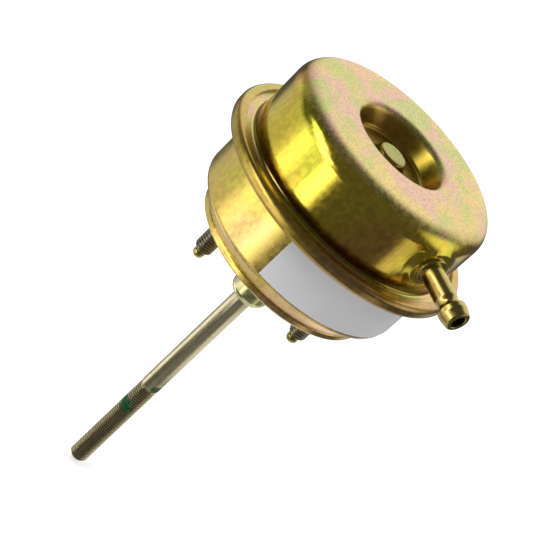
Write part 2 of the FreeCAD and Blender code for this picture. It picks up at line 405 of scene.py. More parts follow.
def linesNode(tree, vector, spec):
    return useGroup(tree, drawnLines, vector, Around=spec["around"], Along=spec["along"])["Lines"]


def streakedColor(tree, color, lines, streaks):
    swing = mathNode(tree, "MULTIPLY", mathNode(tree, "SUBTRACT", lines, 0.5), streaks)
    return scaleVector(tree, color, mathNode(tree, "ADD", 1.0, swing))


# bump distances in metres
lineRelief = 0.0001
grainRelief = 0.0002
filmRelief = 0.0003


def zincMaterial(name, spec):
    material, tree, shader, vector = newMaterial(name)
    skin = skinNode(tree, vector, spec)
    lines = linesNode(tree, vector, spec)
    color = streakedColor(tree, skin["Color"], lines, spec["streaks"])
    rough = roughnessFrom(tree, skin["Grain"], spec["smooth"], spec["rough"])
    if "rimZone" in spec:
        # the hem beyond this radius is duller and browner than the drawn wall
        rim = zoneNode(tree, axisDistance(tree, vector), spec["rimZone"])
        color = mixColor(tree, rim, color, (*spec["rimTint"], 1), "MULTIPLY")
        rough = mathNode(tree, "ADD", rough, mathNode(tree, "MULTIPLY", rim, spec["rimDull"]))
    tree.links.new(color, shader.inputs["Base Color"])
    shader.inputs["Metallic"].default_value = 1
    shader.inputs["Coat Weight"].default_value = spec["coat"]
    shader.inputs["Coat Roughness"].default_value = spec["coatRough"]
    tree.links.new(rough, shader.inputs["Roughness"])
    tree.links.new(bumpNode(tree, lines, spec["bump"], lineRelief), shader.inputs["Normal"])
    return material


wallFinish = {
    "clouds": 26.0, "gold": (0.88, 0.64, 0.14), "rose": (0.89, 0.59, 0.25), "green": (0.8, 0.69, 0.1),
    "roseShare": 0.42, "greenShare": 0.42, "speckle": 0.1, "smooth": 0.25, "rough": 0.3,
    "around": 5200.0, "along": 22.0, "streaks": 0.34, "bump": 0.06, "coat": 0.24, "coatRough": 0.2,
}
canFinish = dict(wallFinish, rimZone=(37.1, 37.9), rimTint=(0.6, 0.55, 0.46), rimDull=0.03)
coverFinish = dict(wallFinish, gold=(0.87, 0.66, 0.07), rose=(0.82, 0.46, 0.1), green=(0.7, 0.68, 0.05),
                   smooth=0.15, rough=0.19)
nippleFinish = dict(coverFinish, smooth=0.2, rough=0.28, speckle=0.05, gold=(0.48, 0.37, 0.1),
                    rose=(0.52, 0.36, 0.12))
guideFinish = dict(wallFinish, gold=(0.84, 0.76, 0.4), rose=(0.84, 0.72, 0.46), green=(0.72, 0.72, 0.32),
                   smooth=0.22, rough=0.3)
studFinish = dict(wallFinish, gold=(0.3, 0.27, 0.19), rose=(0.25, 0.22, 0.16), green=(0.34, 0.33, 0.24),
                  smooth=0.25, rough=0.4)
zincWall = zincMaterial("zincWall", canFinish)
zincNipple = zincMaterial("zincNipple", nippleFinish)
zincGuide = zincMaterial("zincGuide", guideFinish)
studSteel = zincMaterial("studSteel", studFinish)

# sizes of the cans, which their finishes follow

housingSpec = {
    "edgeWidth": 4.7, "edgeHeight": 5.2, "edgeBend": 2.5, "flangeBend": 0.8, "hemWidth": 3.1, "hemBend": 1.6,
    "floorHole": 6.75, "columns": 256,
}
coverSpec = {
    "edgeBend": 5.7, "flangeBend": 1.3, "recessRadius": 15.6, "recessDepth": 6.9, "lipBend": 2.8,
    "floorBend": 1.6, "draft": 2.6, "buttonRadius": 4.7, "buttonHeight": 3.0, "buttonBend": 1.3,
    "buttonDraft": 0.5, "columns": 260, "fineSteps": 36, "fineStep": 0.46, "fineShift": 0.11,
}
faceFinish = {
    "clouds": 62.0, "gold": (0.8, 0.62, 0.24), "rose": (0.8, 0.52, 0.37), "green": (0.58, 0.61, 0.2),
    "roseShare": 0.55, "greenShare": 0.45, "speckle": 0.2, "smooth": 0.36, "rough": 0.5,
}
# where the cover's finishes and its painted shade change, as heights or radii in millimetres
coverZones = {
    "top": (coverTop - 2.6, coverTop - 0.3), "buttonTop": (coverTop - 5.0, coverTop - 4.4),
    "outsideDish": (coverSpec["recessRadius"] - 1.2, coverSpec["recessRadius"] + 0.6), "button": (4.6, 3.6),
    "flangeRadius": (canRadius + 0.5, canRadius + 1.1),
    "flangeHeight": (coverFlangeTop + 1.2, coverFlangeTop + 0.6),
    "footHeight": (33.0, 30.0), "footRadius": (canRadius + 0.9, canRadius + 0.3),
}
# the foot colour and its share are a painted shade on the foot of the wall above the flange; the recess
# colour is a painted shade inside the dish
coverLook = {
    "wander": 0.0025, "footShade": (0.16, 0.1, 0.03), "footShadeShare": 0.78, "recessShade": (0.5, 0.42, 0.46),
    "recessDull": 0.14, "coat": 0.2, "coatRough": 0.1, "bump": 0.12,
}


def coverMaterial():
    # glossy walls that turn into a satin, cloudy face above the edge bend
    s = coverLook
    zones = coverZones
    material, tree, shader, vector = newMaterial("zincCover")
    wallSkin = skinNode(tree, vector, coverFinish)
    faceSkin = skinNode(tree, vector, faceFinish)
    height = addNode(tree, "ShaderNodeSeparateXYZ", i0=vector).outputs[2]
    radius = axisDistance(tree, vector)
    wander = mathNode(tree, "MULTIPLY", mathNode(tree, "SUBTRACT", wallSkin["Grain"], 0.5), s["wander"])
    ragged = mathNode(tree, "ADD", height, wander)
    outsideDish = zoneNode(tree, radius, zones["outsideDish"])
    insideDish = mathNode(tree, "SUBTRACT", 1.0, outsideDish)
    face = mathNode(tree, "MULTIPLY", zoneNode(tree, ragged, zones["top"]), outsideDish)
    button = mathNode(tree, "MULTIPLY", zoneNode(tree, radius, zones["button"]),
                      zoneNode(tree, height, zones["buttonTop"]))
    flange = mathNode(tree, "MULTIPLY", zoneNode(tree, radius, zones["flangeRadius"]),
                      zoneNode(tree, height, zones["flangeHeight"]))
    satin = mathNode(tree, "MAXIMUM", mathNode(tree, "MAXIMUM", face, button), flange)
    # painted shade: the foot of the wall just above the flange is darkened, and its coat is taken off there
    foot = mathNode(tree, "MULTIPLY", zoneNode(tree, ragged, zones["footHeight"]),
                    zoneNode(tree, radius, zones["footRadius"]))
    footShade = mathNode(tree, "MULTIPLY", foot, s["footShadeShare"])
    lines = linesNode(tree, vector, coverFinish)
    color = streakedColor(tree, wallSkin["Color"], lines, coverFinish["streaks"])
    color = mixColor(tree, footShade, color, (*s["footShade"], 1))
    # painted shade: the inside of the dish is darkened, as the recess shades itself
    color = mixColor(tree, insideDish, color, (*s["recessShade"], 1), "MULTIPLY")
    tree.links.new(mixColor(tree, satin, color, faceSkin["Color"]), shader.inputs["Base Color"])
    shader.inputs["Metallic"].default_value = 1
    shader.inputs["Coat Roughness"].default_value = s["coatRough"]
    coatedWall = mathNode(tree, "SUBTRACT", 1.0, mathNode(tree, "MAXIMUM", satin, footShade))
    tree.links.new(mathNode(tree, "MULTIPLY", coatedWall, s["coat"]), shader.inputs["Coat Weight"])
    wallRough = roughnessFrom(tree, wallSkin["Grain"], coverFinish["smooth"], coverFinish["rough"])
    faceRough = roughnessFrom(tree, faceSkin["Grain"], faceFinish["smooth"], faceFinish["rough"])
    glossy = mathNode(tree, "SUBTRACT", 1.0, satin)
    rough = mathNode(tree, "ADD", mathNode(tree, "MULTIPLY", faceRough, satin),
                     mathNode(tree, "MULTIPLY", wallRough, glossy))
    dull = mathNode(tree, "MULTIPLY", insideDish, s["recessDull"])
    tree.links.new(mathNode(tree, "ADD", rough, dull), shader.inputs["Roughness"])
    relief = mathNode(tree, "ADD", mathNode(tree, "MULTIPLY", faceSkin["Grain"], satin), lines)
    tree.links.new(bumpNode(tree, relief, s["bump"], lineRelief), shader.inputs["Normal"])
    return material


rodFinish = {
    "clouds": 90.0, "gold": (0.7, 0.62, 0.39), "rose": (0.66, 0.57, 0.36), "green": (0.6, 0.56, 0.3),
    "roseShare": 0.4, "greenShare": 0.3, "speckle": 0.08, "smooth": 0.24, "rough": 0.36,
    "around": 300.0, "along": 60.0, "bump": 0.15, "grooveShade": (0.36, 0.33, 0.24),
    "grooveRadius": (3.08, 2.8), "grooveHeight": (rodTip + 39.6, rodTip + 39.2),
    "paint": (0.01, 0.085, 0.03), "paintCover": 0.9, "wander": 0.004, "wanderScale": 420.0,
    "sideWander": 0.6, "bandSoft": 0.25, "reachSoft": 0.3,
    "poreScale": 1500.0, "poreLow": 0.2, "poreHigh": 0.4,
}
# each dab covers a band of the rod on the side that its azimuth names, from its reach outwards
paintDabs = [
    {"height": -75.0, "width": 3.6, "azimuth": -175, "reach": 0.5},
    {"height": -76.2, "width": 3.0, "azimuth": -105, "reach": 2.2},
    {"height": -63.6, "width": 2.6, "azimuth": -30, "reach": 2.2},
]


def rodMaterial():
    # bare bar with dabs of green marking paint and with painted shade in the thread's grooves
    s = rodFinish
    material, tree, shader, vector = newMaterial("rodSteel")
    skin = skinNode(tree, vector, s)
    height = addNode(tree, "ShaderNodeSeparateXYZ", i0=vector).outputs[2]
    noise = noiseNode(tree, vector, s["wanderScale"], 3.0, 0.6)
    wander = mathNode(tree, "MULTIPLY", mathNode(tree, "SUBTRACT", noise, 0.5), s["wander"])
    ragged = mathNode(tree, "ADD", height, wander)
    paint = 0.0
    for dab in paintDabs:
        half = dab["width"] / 2
        away = mathNode(tree, "ABSOLUTE", mathNode(tree, "SUBTRACT", ragged, dab["height"] * mm))
        band = zoneNode(tree, away, (half + s["bandSoft"], half - s["bandSoft"]))
        turn = math.radians(dab["azimuth"])
        side = addNode(tree, "ShaderNodeVectorMath", {"operation": "DOT_PRODUCT"}, i0=vector,
                       i1=(math.cos(turn), math.sin(turn), 0)).outputs["Value"]
        side = mathNode(tree, "ADD", side, mathNode(tree, "MULTIPLY", wander, s["sideWander"]))
        reach = zoneNode(tree, side, (dab["reach"] - s["reachSoft"], dab["reach"] + s["reachSoft"]))
        paint = mathNode(tree, "MAXIMUM", paint, mathNode(tree, "MULTIPLY", band, reach))
    pores = rangeNode(tree, noiseNode(tree, vector, s["poreScale"], 2.0), s["poreLow"], s["poreHigh"])
    paint = mathNode(tree, "MULTIPLY", paint, pores)
    # painted shade: the thread's grooves are darkened
    groove = mathNode(tree, "MULTIPLY", zoneNode(tree, axisDistance(tree, vector), s["grooveRadius"]),
                      zoneNode(tree, height, s["grooveHeight"]))
    bar = mixColor(tree, groove, skin["Color"], (*s["grooveShade"], 1), "MULTIPLY")
    tree.links.new(mixColor(tree, paint, bar, (*s["paint"], 1)), shader.inputs["Base Color"])
    metallic = mathNode(tree, "SUBTRACT", 1.0, mathNode(tree, "MULTIPLY", paint, s["paintCover"]))
    tree.links.new(metallic, shader.inputs["Metallic"])
    lines = linesNode(tree, vector, s)
    tree.links.new(roughnessFrom(tree, lines, s["smooth"], s["rough"]), shader.inputs["Roughness"])
    tree.links.new(bumpNode(tree, lines, s["bump"], lineRelief), shader.inputs["Normal"])
    return material


plainLook = {"clouds": 120.0, "darker": 0.82, "lighter": 1.15, "roughSpan": 0.05}


def plainMaterial(name, color, metallic, roughness, grain, depth):
    # one colour with a slight variation and a fine grain
    s = plainLook
    material, tree, shader, vector = newMaterial(name)
    cloud = noiseNode(tree, vector, s["clouds"], 4.0, 0.6)
    dark = [c * s["darker"] for c in color] + [1]
    light = [min(c * s["lighter"], 1) for c in color] + [1]
    tree.links.new(mixColor(tree, cloud, dark, light), shader.inputs["Base Color"])
    shader.inputs["Metallic"].default_value = metallic
    rough = roughnessFrom(tree, cloud, roughness - s["roughSpan"], roughness + s["roughSpan"])
    tree.links.new(rough, shader.inputs["Roughness"])
    relief = noiseNode(tree, vector, grain, 3.0)
    tree.links.new(bumpNode(tree, relief, depth, grainRelief), shader.inputs["Normal"])
    return material


labelLook = {
    "clouds": 40.0, "dark": (0.6, 0.6, 0.62, 1), "light": (0.72, 0.72, 0.735, 1), "rough": 0.42,
    "grain": 160.0, "bump": 0.08,
}


def labelMaterial():
    # satin film, faintly uneven
    s = labelLook
    material, tree, shader, vector = newMaterial("labelFilm")
    cloud = noiseNode(tree, vector, s["clouds"], 2.0)
    tree.links.new(mixColor(tree, cloud, s["dark"], s["light"]), shader.inputs["Base Color"])
    shader.inputs["Roughness"].default_value = s["rough"]
    relief = noiseNode(tree, vector, s["grain"], 2.0)
    tree.links.new(bumpNode(tree, relief, s["bump"], filmRelief), shader.inputs["Normal"])
    return material


zincCover = coverMaterial()
rodSteel = rodMaterial()
labelFilm = labelMaterial()
springSteel = plainMaterial("springSteel", (0.22, 0.22, 0.23), 1.0, 0.35, 900.0, 0.1)
rubberSheet = plainMaterial("rubberSheet", (0.03, 0.03, 0.032), 0.0, 0.6, 1400.0, 0.3)
bushBronze = plainMaterial("bushBronze", (0.5, 0.33, 0.15), 1.0, 0.38, 1100.0, 0.15)
wiperFelt = plainMaterial("wiperFelt", (0.3, 0.28, 0.24), 0.0, 0.95, 1600.0, 0.6)
brightZinc = plainMaterial("brightZinc", (0.6, 0.61, 0.63), 1.0, 0.3, 900.0, 0.1)
print("materials made")

# cover

nippleSpec = {
    "azimuth": -44.5, "height": 39.6, "reach": 54.0, "radius": 3.2, "bore": 2.1, "boreBend": 0.3,
    "clinchDepth": 2.0, "clinchStep": 0.2, "clinchBend": 0.4,
    "shoulderRadius": 4.5, "shoulderThickness": 0.9, "shoulderFoot": 0.2, "shoulderBend": 0.42,
    "rootBend": 0.1,
    "neckRadius": 2.9, "neckStart": 0.15, "neckEnd": 0.3, "neckBend": 0.95,
    "barbRadius": 4.05, "barbLength": 7.6, "landStart": 0.42, "barbLand": 1.6, "landBend": 0.63,
    "barbBend": 1.2,
    "endRadius": 3.4, "endBend": 0.6, "columns": 80,
}
bossSpec = {"face": 36.1, "faceRadius": 6.2, "slope": 0.95, "blend": 0.8, "nearest": 20, "lowest": 29.5,
            "spread": 6, "fade": 3}


def raiseBoss(vertex, inner):
    # lifts the wall smoothly to the flat seat of the nipple
    s = bossSpec
    turn = math.radians(nippleSpec["azimuth"])
    out = vertex.x * math.cos(turn) + vertex.y * math.sin(turn)
    side = vertex.y * math.cos(turn) - vertex.x * math.sin(turn)
    if out < s["nearest"] or vertex.z < s["lowest"]:
        return vertex
    away = math.hypot(side, vertex.z - nippleSpec["height"])
    face = s["face"] - (canWall if inner else 0)
    target = face - s["slope"] * max(away - s["faceRadius"], 0)
    raised = (out + target + math.hypot(out - target, s["blend"])) / 2
    fade = min(max((s["faceRadius"] + s["spread"] - away) / s["fade"], 0), 1)
    lift = (raised - out) * fade
    if away < s["faceRadius"]:
        lift = max(target - out, lift)
    return vertex + Vector((math.cos(turn), math.sin(turn), 0)) * lift


def makeCover():
    s = coverSpec
    clampRadius = crimpRadius - housingSpec["hemBend"]
    floor = coverTop - s["recessDepth"]
    corners = [
        (clampRadius, coverFlangeTop),
        (canRadius, coverFlangeTop, s["flangeBend"]),
        (canRadius, coverTop, s["edgeBend"]),
        (s["recessRadius"], coverTop, s["lipBend"]),
        (s["recessRadius"] - s["draft"], floor, s["floorBend"]),
        (s["buttonRadius"] + s["buttonDraft"], floor, s["buttonBend"]),
        (s["buttonRadius"], floor + s["buttonHeight"], s["buttonBend"]),
        (0, floor + s["buttonHeight"]),
    ]
    outer = roundedLine(corners, steps=28, spacing=0.55)
    inner = roundedLine(offsetCorners(corners, canWall), steps=10, spacing=2.5)
    turns = evenTurns(s["columns"])
    # finer columns round the boss
    centre = math.radians(nippleSpec["azimuth"])
    fine = range(-s["fineSteps"], s["fineSteps"] + 1)
    turns += [centre + math.radians(s["fineStep"] * i + s["fineShift"]) for i in fine]
    turns = sorted(turn % (2 * math.pi) for turn in turns)
    mesh = turnedMesh("cover", outer + inner[::-1], turns,
                      lambda vertex, source: raiseBoss(vertex, source >= len(outer)))
    return finishMesh("cover", mesh, zincCover)


cover = makeCover()
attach(cover, "housing")
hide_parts("upper_can")

# nipple


def makeNipple():
    s = nippleSpec
    start = s["reach"] - s["barbLength"]
    face = bossSpec["face"]
    land = start + s["landStart"] * s["barbLength"]
    clinchRadius = s["shoulderRadius"] - s["clinchStep"]
    loop = roundedLine([
        (s["bore"], face - s["clinchDepth"]),
        (clinchRadius, face - s["clinchDepth"], s["clinchBend"]),
        (clinchRadius, face - canWall),
        (s["radius"], face - canWall),
        (s["radius"], face),
        (s["shoulderRadius"], face, s["shoulderFoot"]),
        (s["shoulderRadius"], face + s["shoulderThickness"], s["shoulderBend"]),
        (s["radius"], face + s["shoulderThickness"], s["rootBend"]),
        (s["radius"], start, s["neckBend"]),
        (s["neckRadius"], start + s["neckStart"] * s["barbLength"], s["neckBend"]),
        (s["neckRadius"], start + s["neckEnd"] * s["barbLength"], s["neckBend"]),
        (s["barbRadius"], land, s["landBend"]),
        (s["barbRadius"], land + s["barbLand"], s["barbBend"]),
        (s["endRadius"], s["reach"], s["endBend"]),
        (s["bore"], s["reach"], s["boreBend"]),
    ], closed=True, steps=16)
    mesh = turnedMesh("hoseNipple", loop, evenTurns(s["columns"]), alongNipple)
    return finishMesh("hoseNipple", mesh, zincNipple)


nipple = makeNipple()
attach(nipple, "housing")
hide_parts("hose_nipple")
print("cover and nipple made")

# spring housing, base plate and guide

plateSpec = {"edgeRound": 0.6, "hole": 6.25}
guideSpec = {
    "radius": 6.2, "length": 18.9, "wall": 1.0, "endBend": 2.74, "footBend": 0.5, "flangeWidth": 2.6,
    "mouth": 3.375, "columns": 96,
}


def makeSpringHousing():
    s = housingSpec
    flange = crimpTop - crimpStack
    corners = [
        (s["floorHole"], baseTop),
        (canRadius - s["edgeWidth"], baseTop, s["edgeBend"]),
        (canRadius, baseTop + s["edgeHeight"], s["edgeBend"]),
        (canRadius, flange, s["flangeBend"]),
        (crimpRadius, flange, s["hemBend"]),
        (crimpRadius, crimpTop, s["hemBend"]),
        (crimpRadius - s["hemWidth"], crimpTop),
    ]
    outer = roundedLine(corners, steps=28, spacing=3.0)
    inner = roundedLine(offsetCorners(corners, canWall), steps=12, spacing=6.0)
    mesh = turnedMesh("springHousing", outer + inner[::-1], evenTurns(s["columns"]))
    return finishMesh("springHousing", mesh, zincWall)


def makeBasePlate():
    edge = plateSpec["edgeRound"]
    loop = roundedLine([
        (plateSpec["hole"], 0),
        (baseRadius, 0, edge),
        (baseRadius, baseTop, edge),
        (plateSpec["hole"], baseTop),
    ], closed=True, steps=16, spacing=4.0)
    mesh = turnedMesh("basePlate", loop, evenTurns(housingSpec["columns"]))
    return finishMesh("basePlate", mesh, zincWall)


def makeGuide():
    s = guideSpec
    top = baseTop + canWall
    corners = [
        (s["mouth"], -s["length"]),
        (s["radius"], -s["length"], s["endBend"]),
        (s["radius"], top, s["footBend"]),
        (s["radius"] + s["flangeWidth"], top),
    ]
    outer = roundedLine(corners, steps=32)
    inner = roundedLine(offsetCorners(corners, s["wall"]), steps=16)
    mesh = turnedMesh("rodGuide", outer + inner[::-1], evenTurns(s["columns"]))
    return finishMesh("rodGuide", mesh, zincGuide)


springHousing = makeSpringHousing()
basePlate = makeBasePlate()
guide = makeGuide()
for piece, node, slot in ((springHousing, "lower_can", "yellow_zinc"),
                          (basePlate, "base_plate", "yellow_zinc"),
                          (guide, "guide_boss", "guide_zinc")):
    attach(piece, "housing")
    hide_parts(node)
print("housing, base and guide made")

# threads

threadSpec = {"crestFlat": 0.12, "flank": 0.76, "closedShare": 0.0005, "weld": 2e-6, "columns": 49}


def makeThreadTree():
    # a grid rolled into a cylinder, with its radius following the thread's helix
    s = threadSpec
    tree = bpy.data.node_groups.new("threadMaker", "GeometryNodeTree")
    inputs = [(label, "NodeSocketFloat") for label in
              ("Crest Radius", "Depth", "Pitch", "Start", "Length", "Tip Radius", "Runout")]
    inputs += [("Columns", "NodeSocketInt"), ("Rows", "NodeSocketInt"), ("Offset", "NodeSocketVector"),
               ("Material", "NodeSocketMaterial")]
    for label, kind in inputs:
        tree.interface.new_socket(name=label, in_out="INPUT", socket_type=kind)
    tree.interface.new_socket(name="Geometry", in_out="OUTPUT", socket_type="NodeSocketGeometry")
    entry = tree.nodes.new("NodeGroupInput").outputs
    leave = tree.nodes.new("NodeGroupOutput").inputs
    grid = addNode(tree, "GeometryNodeMeshGrid", i0=1.0, i1=1.0, i2=entry["Columns"], i3=entry["Rows"])
    place = addNode(tree, "ShaderNodeSeparateXYZ", i0=tree.nodes.new("GeometryNodeInputPosition").outputs[0])
    turns = mathNode(tree, "ADD", place.outputs[0], 0.5)
    share = mathNode(tree, "ADD", place.outputs[1], 0.5)
    angle = mathNode(tree, "MULTIPLY", turns, 2 * math.pi)
    rise = mathNode(tree, "MULTIPLY", share, entry["Length"])
    phase = mathNode(tree, "SUBTRACT", mathNode(tree, "DIVIDE", rise, entry["Pitch"]), turns)
    wave = mathNode(tree, "MULTIPLY", mathNode(tree, "PINGPONG", phase, 0.5), 2.0)
    climb = mathNode(tree, "SUBTRACT", wave, s["crestFlat"])
    flank = mathNode(tree, "MULTIPLY", climb, 1 / s["flank"], clamp=True)
    left = mathNode(tree, "SUBTRACT", entry["Length"], rise)
    cut = mathNode(tree, "DIVIDE", left, entry["Runout"], clamp=True)
    below = mathNode(tree, "MULTIPLY", mathNode(tree, "SUBTRACT", 1.0, flank), entry["Depth"])
    deep = mathNode(tree, "MULTIPLY", below, cut)
    threaded = mathNode(tree, "SUBTRACT", entry["Crest Radius"], deep)
    bevel = mathNode(tree, "ADD", entry["Tip Radius"], rise)
    radius = mathNode(tree, "MINIMUM", threaded, bevel)
    radius = mathNode(tree, "MULTIPLY", radius, mathNode(tree, "GREATER_THAN", share, s["closedShare"]))
    height = mathNode(tree, "ADD", entry["Start"], rise)
    across = mathNode(tree, "MULTIPLY", radius, mathNode(tree, "COSINE", angle))
    along = mathNode(tree, "MULTIPLY", radius, mathNode(tree, "SINE", angle))
    rolled = addNode(tree, "ShaderNodeCombineXYZ", i0=across, i1=along, i2=height)
    moved = addNode(tree, "ShaderNodeVectorMath", {"operation": "ADD"}, i0=rolled.outputs[0],
                    i1=entry["Offset"])
    scaled = scaleVector(tree, moved.outputs[0], mm)
    shaped = addNode(tree, "GeometryNodeSetPosition", Geometry=grid.outputs["Mesh"], Position=scaled)
    merged = addNode(tree, "GeometryNodeMergeByDistance", Geometry=shaped.outputs[0], Distance=s["weld"])
    smooth = addNode(tree, "GeometryNodeSetShadeSmooth", Geometry=merged.outputs[0])
    whole = addNode(tree, "GeometryNodeRealizeInstances", Geometry=smooth.outputs[0])
    painted = addNode(tree, "GeometryNodeSetMaterial", Geometry=whole.outputs[0], Material=entry["Material"])
    tree.links.new(painted.outputs[0], leave["Geometry"])
    return tree


threadMaker = makeThreadTree()


def runTree(name, tree, values):
    # evaluates the tree once and keeps only its mesh
    carrier = placeObject(name + "Maker", bpy.data.meshes.new(name + "Maker"))
    modifier = carrier.modifiers.new("maker", "NODES")
    modifier.node_group = tree
    sockets = {item.name: item.identifier for item in tree.interface.items_tree if item.in_out == "INPUT"}
    for key, value in values.items():
        modifier[sockets[key]] = value
    evaluated = carrier.evaluated_get(bpy.context.evaluated_depsgraph_get())
    mesh = bpy.data.meshes.new_from_object(evaluated)
    bpy.data.objects.remove(carrier)
    mesh.name = name
    return mesh


rodSpec = {
    "radius": 3.175, "threadLength": 39.5, "threadRadius": 3.12, "pitch": 0.907, "depth": 0.5,
    "tipRadius": 2.2, "runout": 1.6, "rows": 560, "necking": 0.05, "overlap": 0.3, "endBend": 0.1,
    "shoulder": 37.7, "spigot": 2.4, "rivetRadius": 3.25, "rivetHeight": 1.6, "rivetRound": 0.7, "seat": 42.3,
    "columns": 96,
}
studSpec = {
    "radius": 3.0, "pitch": 1.0, "depth": 0.55, "tipRadius": 2.3, "runout": 0.5, "rows": 260, "overlap": 0.4,
    "dogLength": 3.0, "dogRadius": 1.85, "dogRound": 0.75, "dogBend": 0.45, "dogGap": 0.7, "neckGap": 0.65,
    "neckRadius": 1.35, "neckDepth": 1.5, "coreGap": 0.1, "shankRadius": 3.4,
    "headRadius": 3.8, "headTop": 5.3, "headBend": 0.6, "columns": 64,
}


def makeRodThread():
    s = rodSpec
    mesh = runTree("rodThread", threadMaker, {
        "Crest Radius": s["threadRadius"], "Depth": s["depth"], "Pitch": s["pitch"], "Start": rodTip,
        "Length": s["threadLength"], "Tip Radius": s["tipRadius"], "Runout": s["runout"],
        "Columns": threadSpec["columns"], "Rows": s["rows"], "Material": rodSteel})
    return finishMesh("rodThread", mesh, rodSteel)


def makeRodBar():
    s = rodSpec
    start = rodTip + s["threadLength"]
    loop = roundedLine([
        (0, start - s["overlap"]),
        (s["threadRadius"] - s["necking"], start - s["overlap"]),
        (s["radius"], start, s["endBend"]),
        (s["radius"], s["shoulder"]),
        (s["spigot"], s["shoulder"]),
        (s["spigot"], s["seat"]),
        (s["rivetRadius"], s["seat"]),
        (s["rivetRadius"], s["seat"] + s["rivetHeight"], s["rivetHeight"] * s["rivetRound"]),
        (0, s["seat"] + s["rivetHeight"]),
    ], closed=True, steps=12)
    mesh = turnedMesh("rodBar", loop, evenTurns(s["columns"]))
    return finishMesh("rodBar", mesh, rodSteel)


def makeStudThread(name, side):
    s = studSpec
    threadEnd = studTip + s["dogLength"]
    mesh = runTree(name, threadMaker, {
        "Crest Radius": s["radius"], "Depth": s["depth"], "Pitch": s["pitch"], "Start": threadEnd,
        "Length": s["overlap"] - threadEnd, "Tip Radius": s["tipRadius"], "Runout": s["runout"],
        "Columns": threadSpec["columns"], "Rows": s["rows"], "Offset": (side * studOffset, 0, 0),
        "Material": studSteel})
    return finishMesh(name, mesh, studSteel)


def makeStudBody(name, side):
    # the dog point below the thread, the core and the head above it
    s = studSpec
    threadEnd = studTip + s["dogLength"]
    coreRadius = s["radius"] - s["depth"] - s["coreGap"]
    floorTop = baseTop + canWall
    loop = roundedLine([
        (0, studTip),
        (s["dogRadius"], studTip, s["dogRadius"] * s["dogRound"]),
        (s["dogRadius"], threadEnd - s["dogGap"], s["dogBend"]),
        (s["neckRadius"], threadEnd - s["neckGap"]),
        (s["neckRadius"], threadEnd + s["neckDepth"]),
        (coreRadius, threadEnd + s["neckDepth"]),
        (coreRadius, s["overlap"]),
        (s["shankRadius"], s["overlap"]),
        (s["shankRadius"], floorTop),
        (s["headRadius"], floorTop),
        (s["headRadius"], s["headTop"], s["headBend"]),
        (0, s["headTop"]),
    ], closed=True, steps=14)
    shift = Vector((side * studOffset, 0, 0))
    mesh = turnedMesh(name, loop, evenTurns(s["columns"]), lambda vertex, source: vertex + shift)
    return finishMesh(name, mesh, zincNipple)


rodBar = makeRodBar()
rodThread = makeRodThread()
for piece in (rodBar, rodThread):
    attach(piece, "rod")
    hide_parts("actuator_rod")
for side, word in ((-1, "left"), (1, "right")):
    for piece in (makeStudBody("studBody_" + word, side), makeStudThread("studThread_" + word, side)):
        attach(piece, "housing")
        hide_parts("mounting_stud_" + word)
nodeFinishes = {
    "label": labelFilm, "rod_wiper": wiperFelt, "guide_bush": bushBronze, "bush_retainer": brightZinc,
    "spring_seat": brightZinc, "main_spring": springSteel, "diaphragm": rubberSheet, "piston_cup": brightZinc,
    "diaphragm_plate": brightZinc, "rod_washer": brightZinc,
}
for node, finish in nodeFinishes.items():
    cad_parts[node].data.materials.clear()
    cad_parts[node].data.materials.append(finish)
print("rod and studs made")

# camera, light and floor

cameraSpec = {"place": (-58.43, -399.7, 207.14), "target": (-1.8, 0.25, -6.96), "roll": 46.37,
              "lens": 105.2, "sensor": 36, "nearest": 0.01}


def makeCamera():
    s = cameraSpec
    place = Vector(s["place"]) * mm
    look = (Vector(s["target"]) * mm - place).normalized()
    level = look.cross(Vector((0, 0, 1))).normalized()
    upright = level.cross(look)
    turn = math.radians(s["roll"])
    right = level * math.cos(turn) + upright * math.sin(turn)
    up = upright * math.cos(turn) - level * math.sin(turn)
    data = bpy.data.cameras.new("camera")
    data.lens = s["lens"]
    data.sensor_width = s["sensor"]
    data.clip_start = s["nearest"]
    camera = placeObject("camera", data)
    rows = [(right[i], up[i], -look[i], place[i]) for i in range(3)]
    camera.matrix_world = Matrix(rows + [(0, 0, 0, 1)])
    bpy.context.scene.camera = camera


makeCamera()


def quadMesh(name, corners, material):
    mesh = bpy.data.meshes.new(name)
    mesh.from_pydata([Vector(corner) * mm for corner in corners], [], [(0, 1, 2, 3)])
    mesh.materials.append(material)
    return mesh


floorSpec = {"half": 3000, "drop": 2.0, "color": (0.8, 0.8, 0.8, 1), "rough": 0.9, "glow": 0.42}


def makeFloor():
    # glows to the camera alone and is clear from below, so that the underside can be seen
    s = floorSpec
    material, tree, shader, _ = newMaterial("studioFloor")
    shader.inputs["Base Color"].default_value = s["color"]
    shader.inputs["Roughness"].default_value = s["rough"]
    shader.inputs["Specular IOR Level"].default_value = 0
    shader.inputs["Emission Color"].default_value = (1, 1, 1, 1)
    seen = tree.nodes.new("ShaderNodeLightPath").outputs["Is Camera Ray"]
    tree.links.new(mathNode(tree, "MULTIPLY", seen, s["glow"]), shader.inputs["Emission Strength"])
    below = tree.nodes.new("ShaderNodeNewGeometry").outputs["Backfacing"]
    clear = tree.nodes.new("ShaderNodeBsdfTransparent")
    either = addNode(tree, "ShaderNodeMixShader", i0=below, i1=shader.outputs[0], i2=clear.outputs[0])
    tree.links.new(either.outputs[0], tree.nodes["Material Output"].inputs["Surface"])
    half = s["half"]
    height = rodTip - s["drop"]
    corners = [(-half, -half, height), (half, -half, height), (half, half, height), (-half, half, height)]
    floor = placeObject("floor", quadMesh("floor", corners, material))
    floor.visible_glossy = False


makeFloor()

lampSpecs = [
    {"name": "keyLamp", "place": (-520, -260, 520), "size": (420, 420), "power": 3.0},
    {"name": "fillLamp", "place": (420, 320, 460), "size": (500, 500), "power": 1.4},
]

